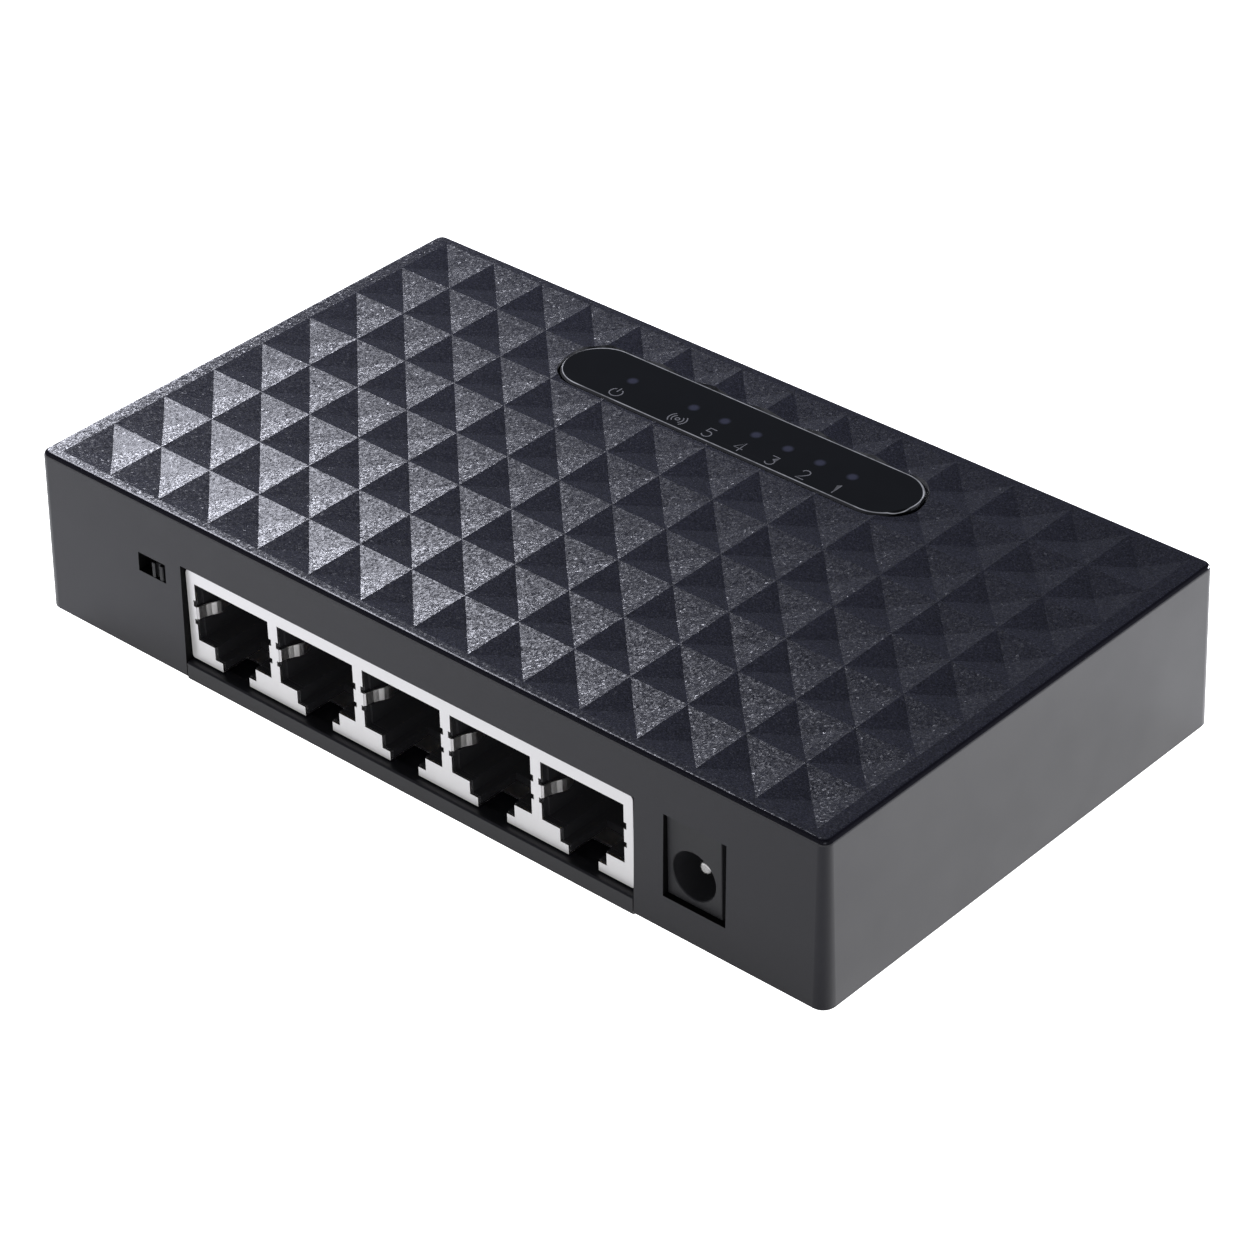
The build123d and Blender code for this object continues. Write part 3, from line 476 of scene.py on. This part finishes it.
# CAD slot name: material function and its settings
FINISHES = {
    "housing_black": (housing_black, {}),
    "base_black": (satin_plastic, dict(base=(0.0170, 0.0165, 0.0200), rough=0.42, grain=0.24)),
    "smoked_lens": (smoked_lens, {}),
    "baffle_black": (satin_plastic, dict(base=(0.012, 0.012, 0.012), rough=0.55, edge=0)),
    "board_green": (board_green, {}),
    "nickel_shield": (shield_plate, {}),
    "jack_black": (satin_plastic, dict(
        base=(0.0130, 0.0130, 0.0145), rough=0.52, grain=0.2, edge=0.06, painted_glow=0.003)),
    "gold_contacts": (brushed, dict(
        base=(0.96, 0.71, 0.33), rough=0.20, streak=(1.0, 0.2, 1.0), depth=0.002,
        tarnish=(0.80, 0.55, 0.25), share=0.3, edge=0.03)),
    "insert_black": (satin_plastic, dict(base=(0.011, 0.011, 0.012), rough=0.48, edge=0.04)),
    "pin_bright": (brushed, dict(
        base=(0.60, 0.59, 0.57), rough=0.26, streak=(1.0, 0.3, 1.0), depth=0.002,
        tarnish=(0.7, 0.68, 0.64), share=0.2, edge=0.03)),
    "tinned_metal": (brushed, dict(
        base=(0.80, 0.80, 0.79), rough=0.30, streak=(1.0, 1.0, 1.0), depth=0.004,
        tarnish=(0.58, 0.57, 0.55), share=0.35, edge=0.02)),
    "switch_frame_steel": (brushed, dict(
        base=(0.70, 0.70, 0.69), rough=0.30, streak=(0.2, 1.0, 2.0), depth=0.003,
        tarnish=(0.5, 0.48, 0.45), share=0.3, edge=0.04)),
    "knob_black": (satin_plastic, dict(
        base=(0.0100, 0.0100, 0.0110), rough=0.46, grain=0.15, depth=0.004, edge=0.06,
        specular=0.36)),
    "wiper_bronze": (brushed, dict(
        base=(0.80, 0.55, 0.34), rough=0.24, streak=(0.3, 1.0, 1.0), depth=0.002,
        tarnish=(0.55, 0.36, 0.2), share=0.3, edge=0.02)),
    "phenolic": (speckled, dict(
        base=(0.17, 0.085, 0.035), fleck=(0.24, 0.13, 0.06), rough=0.5, size=0.3,
        share=(0.5, 0.7))),
    "led_white": (led_body, {}),
    "chip_black": (speckled, dict(
        base=(0.016, 0.016, 0.017), fleck=(0.035, 0.035, 0.036), rough=0.50, size=0.10)),
    "magnetics_black": (speckled, dict(
        base=(0.012, 0.012, 0.013), fleck=(0.026, 0.026, 0.028), rough=0.42, size=0.16)),
    "crystal_metal": (brushed, dict(
        base=(0.84, 0.84, 0.83), rough=0.20, streak=(0.15, 1.0, 1.0), depth=0.002,
        tarnish=(0.7, 0.69, 0.66), share=0.2, edge=0.03)),
    "ferrite": (speckled, dict(
        base=(0.035, 0.034, 0.035), fleck=(0.09, 0.09, 0.09), rough=0.60, size=0.16,
        share=(0.55, 0.68), depth=0.02)),
    "capacitor_aluminium": (capacitor_aluminium, {}),
    "capacitor_base": (satin_plastic, dict(base=(0.014, 0.014, 0.014), rough=0.5, edge=0.04)),
    "ceramic_tan": (speckled, dict(
        base=(0.42, 0.27, 0.15), fleck=(0.50, 0.35, 0.22), rough=0.45, size=0.15,
        share=(0.45, 0.65))),
    "resistor_black": (speckled, dict(
        base=(0.02, 0.02, 0.022), fleck=(0.05, 0.05, 0.05), rough=0.35, size=0.12)),
    "screw_steel": (brushed, dict(
        base=(0.62, 0.62, 0.61), rough=0.27, streak=(1.0, 1.0, 1.5), depth=0.004,
        tarnish=(0.42, 0.41, 0.39), share=0.35, edge=0.04)),
    "case_screw_black": (brushed, dict(
        base=(0.085, 0.085, 0.09), rough=0.34, streak=(1.0, 1.0, 1.5), depth=0.004,
        tarnish=(0.16, 0.155, 0.15), share=0.5, edge=0.05)),
    "foot_rubber": (speckled, dict(
        base=(0.020, 0.020, 0.021), fleck=(0.034, 0.034, 0.035), rough=0.78, size=0.22,
        share=(0.5, 0.66), depth=0.02, edge=0.1)),
    "label_grey": (rating_label, {}),
}
MATERIALS = {name: make(name, **settings) for name, (make, settings) in FINISHES.items()}

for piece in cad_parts.values():
    slots = piece.data.materials
    for i, old in enumerate(list(slots)):
        slots[i] = MATERIALS[old.name.split(".")[0]]


# ---------------------------------------------------------------- printed legends
def mesh_object(name, bm, material):
    mesh = bpy.data.meshes.new(name)
    bm.normal_update()
    bm.to_mesh(mesh)
    bm.free()
    obj = bpy.data.objects.new(name, mesh)
    bpy.context.scene.collection.objects.link(obj)
    mesh.materials.append(material)
    return obj


def bridge(bm, lower, upper):
    """Joins two closed rings of vertices with quads."""
    for i in range(len(lower)):
        j = (i + 1) % len(lower)
        bm.faces.new((lower[i], lower[j], upper[j], upper[i]))


def add_prism(bm, outline, bottom, top):
    """Closed prism on a simple counter-clockwise outline."""
    lower = [bm.verts.new((x * MM, y * MM, bottom * MM)) for x, y in outline]
    upper = [bm.verts.new((x * MM, y * MM, top * MM)) for x, y in outline]
    bm.faces.new(upper)
    bm.faces.new(lower[::-1])
    bridge(bm, lower, upper)


def stroke(points, width):
    """Outline of a round-ended stroke along points."""
    left, right = [], []
    for i, (x, y) in enumerate(points):
        before = points[max(i - 1, 0)]
        after = points[min(i + 1, len(points) - 1)]
        dx, dy = after[0] - before[0], after[1] - before[1]
        length = math.hypot(dx, dy) or 1.0
        side_x, side_y = -dy / length * width / 2, dx / length * width / 2
        left.append((x + side_x, y + side_y))
        right.append((x - side_x, y - side_y))

    def cap(tip, neighbour):
        heading = math.atan2(tip[1] - neighbour[1], tip[0] - neighbour[0])
        return [
            (tip[0] + width / 2 * math.cos(heading + turn),
             tip[1] + width / 2 * math.sin(heading + turn))
            for turn in (-math.pi / 3, 0, math.pi / 3)
        ]

    return right + cap(points[-1], points[-2]) + left[::-1] + cap(points[0], points[1])


def arc(x, y, radius, start, end, steps):
    """Points along an arc; start and end in degrees."""
    angles = [math.radians(start + (end - start) * i / steps) for i in range(steps + 1)]
    return [(x + radius * math.cos(a), y + radius * math.sin(a)) for a in angles]


# strokes of each legend as x, y points about its own middle, in the order of LED_X
LEGENDS = {
    "power": [arc(0, -0.05, 0.86, 125, 415, 22), [(0.0, 1.02), (0.0, 0.12)]],
    "activity": [
        arc(0, 0, 0.28, 0, 340, 12),
        arc(0, 0, 0.78, -48, 48, 8), arc(0, 0, 0.78, 132, 228, 8),
        arc(0, 0, 1.25, -45, 45, 10), arc(0, 0, 1.25, 135, 225, 10),
    ],
    "port_5": [
        [(0.5, 0.98), (-0.42, 0.98), (-0.5, 0.12)] + arc(-0.02, -0.36, 0.62, 120, -150, 14)
    ],
    "port_4": [[(0.28, -1.0), (0.28, 1.0), (-0.62, -0.42), (0.66, -0.42)]],
    "port_3": [
        [(-0.52, 0.98), (0.52, 0.98), (-0.02, 0.22)] + arc(-0.02, -0.38, 0.6, 80, -150, 12)
    ],
    "port_2": [
        arc(0.0, 0.42, 0.56, 165, -20, 12) + [(0.1, -0.35), (-0.58, -0.98), (0.62, -0.98)]
    ],
    "port_1": [[(-0.32, 0.62), (0.08, 1.0), (0.08, -1.0)]],
}


def add_legend(name, strokes, center_x, material):
    bm = bmesh.new()
    for points in strokes:
        placed = [(center_x + x, LEGEND_Y + y) for x, y in points]
        add_prism(bm, stroke(placed, STROKE_WIDTH), PRINT_BOTTOM, PRINT_TOP)
    bmesh.ops.recalc_face_normals(bm, faces=bm.faces)
    obj = mesh_object(name, bm, material)
    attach(obj, "switch_body")


# ---------------------------------------------------------------- light spots
SPOT_SIDES = 32
SPOT_TOP = WINDOW_TOP + 0.006
# radius, height, fade
SPOT_RINGS = (
    (0.92, PRINT_BOTTOM, 0.0),
    (0.92, WINDOW_TOP + 0.004, 0.0),
    (0.68, SPOT_TOP, 0.40),
    (0.40, SPOT_TOP, 0.88),
)


def add_spot(name, center_x, material):
    """Thin disc in the window's surface; its fade attribute rises to 1 in the middle."""
    bm = bmesh.new()
    fade = bm.verts.layers.float.new("fade")

    def add_vertex(x, y, z, value):
        vertex = bm.verts.new((x * MM, y * MM, z * MM))
        vertex[fade] = value
        return vertex

    angles = [i * math.pi / (SPOT_SIDES / 2) for i in range(SPOT_SIDES)]
    rings = [
        [add_vertex(center_x + r * math.cos(a), LED_Y + r * math.sin(a), z, value)
         for a in angles]
        for r, z, value in SPOT_RINGS
    ]
    for lower, upper in zip(rings, rings[1:]):
        bridge(bm, lower, upper)
    bm.faces.new(rings[0][::-1])
    middle = add_vertex(center_x, LED_Y, SPOT_TOP, 1.0)
    inner = rings[-1]
    for i in range(SPOT_SIDES):
        bm.faces.new((inner[i], inner[(i + 1) % SPOT_SIDES], middle))
    bmesh.ops.recalc_face_normals(bm, faces=bm.faces)
    obj = mesh_object(name, bm, material)
    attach(obj, "switch_body")


INK = legend_ink()
SPOT_PAINTED_GLOW = light_spot()
for x, (label, strokes) in zip(LED_X, LEGENDS.items()):
    add_legend("legend_" + label, strokes, x + LEGEND_DX, INK)
for i, x in enumerate(LED_X):
    add_spot(f"light_spot_{i + 1}", x + SPOT_DX, SPOT_PAINTED_GLOW)


# ---------------------------------------------------------------- stage
def floor_material():
    """White floor whose glow depends on the viewing direction; clear from below."""
    m = Shader("stage_floor")
    geometry = m.node("ShaderNodeNewGeometry")
    view_x, view_y, view_z = m.split(Field(m, geometry.outputs["Incoming"]))
    # radiance: its level, and its change with the X and Y of the viewing direction
    level, change_x, change_y = 1.085, 0.224, -1.24
    glow = view_x * change_x + view_y * change_y + level
    glow = m.math("MAXIMUM", glow, 0.2)
    # even glow at grazing angles
    glow = m.mix(m.ramp(view_z, over=(0.22, 0.42)), off=0.8, on=glow)
    # the camera never sees less than full white
    camera_ray = m.field("ShaderNodeLightPath", output="Is Camera Ray")
    glow = m.math("MAXIMUM", glow, camera_ray * 1.05)
    emission = m.field("ShaderNodeEmission", {"Color": (1.0, 1.0, 1.0), "Strength": glow})
    diffuse = m.field("ShaderNodeBsdfDiffuse", {"Color": (0.8, 0.8, 0.8)})
    front = m.field("ShaderNodeAddShader", {0: emission, 1: diffuse})
    back = m.field("ShaderNodeBsdfTransparent")
    backfacing = Field(m, geometry.outputs["Backfacing"])
    surface = m.field("ShaderNodeMixShader", {0: backfacing, 1: front, 2: back})
    m.put(m.output.inputs["Surface"], surface)
    return m.material


def add_floor(radius=5.0, sides=64):
    """Disc on the ground; radius in metres."""
    material = floor_material()
    bm = bmesh.new()
    angles = [i * math.pi / (sides / 2) for i in range(sides)]
    bm.faces.new([
        bm.verts.new((radius * math.cos(a), radius * math.sin(a), 0.0)) for a in angles
    ])
    mesh_object("stage_floor", bm, material)


LIGHT_TARGET = Vector((0.0, 0.0, 0.012))
LIGHT_COLOR = (0.95, 0.965, 1.08)
# name, azimuth from +X and elevation (degrees), distance, width, height (metres), radiance
SOFTBOXES = (
    ("key_far", 152.1, 24.5, 0.932, 0.198, 0.060, 60.0),
    ("key_near", 171.3, 50.0, 0.330, 0.104, 0.138, 13.5),
    ("rim_back", 69.0, 5.0, 1.20, 0.42, 0.21, 45.4),
    ("fill_front", 315.0, 33.0, 0.90, 0.36, 0.30, 1.1),
)


def add_softbox(name, azimuth, elevation, distance, width, height, radiance):
    """Rectangular area light aimed at LIGHT_TARGET."""
    turn, rise = math.radians(azimuth), math.radians(elevation)
    direction = Vector((
        math.cos(turn) * math.cos(rise), math.sin(turn) * math.cos(rise), math.sin(rise)
    ))
    light = bpy.data.lights.new(name, "AREA")
    light.shape = "RECTANGLE"
    light.size, light.size_y = width, height
    light.energy = radiance * math.pi * width * height
    light.color = LIGHT_COLOR
    obj = bpy.data.objects.new(name, light)
    obj.location = LIGHT_TARGET + direction * distance
    obj.rotation_mode = "QUATERNION"
    obj.rotation_quaternion = (-direction).to_track_quat("-Z", "Y")
    bpy.context.scene.collection.objects.link(obj)
    obj.visible_camera = False


def add_world():
    """White to the camera, dim and bluish to everything else."""
    world = bpy.data.worlds.new("studio")
    bpy.context.scene.world = world
    world.use_nodes = True
    nodes, links = world.node_tree.nodes, world.node_tree.links
    nodes.clear()

    def background(color, strength):
        node = nodes.new("ShaderNodeBackground")
        node.inputs["Color"].default_value = (*color, 1.0)
        node.inputs["Strength"].default_value = strength
        return node.outputs[0]

    output = nodes.new("ShaderNodeOutputWorld")
    light_path = nodes.new("ShaderNodeLightPath")
    seen = background(color=(1.0, 1.0, 1.0), strength=1.0)
    ambient = background(color=(0.85, 0.90, 1.0), strength=0.125)
    mix = nodes.new("ShaderNodeMixShader")
    links.new(light_path.outputs["Is Camera Ray"], mix.inputs[0])
    links.new(ambient, mix.inputs[1])
    links.new(seen, mix.inputs[2])
    links.new(mix.outputs[0], output.inputs["Surface"])


CAMERA_PLACE = Vector((0.28329, -0.30979, 0.28989))
CAMERA_RIGHT = Vector((0.7478, 0.6637, -0.0187))
CAMERA_FORWARD = Vector((-0.5582, 0.6131, -0.5590))


def add_camera():
    camera = bpy.data.cameras.new("camera")
    camera.sensor_width = 36.0
    camera.lens = 121.364241
    camera.clip_start, camera.clip_end = 0.01, 30.0
    obj = bpy.data.objects.new("camera", camera)
    forward = CAMERA_FORWARD.normalized()
    up = CAMERA_RIGHT.normalized().cross(forward).normalized()
    right = forward.cross(up).normalized()
    rotation = Matrix((right, up, -forward)).transposed()
    obj.matrix_world = Matrix.Translation(CAMERA_PLACE) @ rotation.to_4x4()
    bpy.context.scene.collection.objects.link(obj)
    bpy.context.scene.camera = obj


add_floor()
for softbox in SOFTBOXES:
    add_softbox(*softbox)
add_world()
add_camera()
bpy.context.scene.view_settings.view_transform = "Standard"
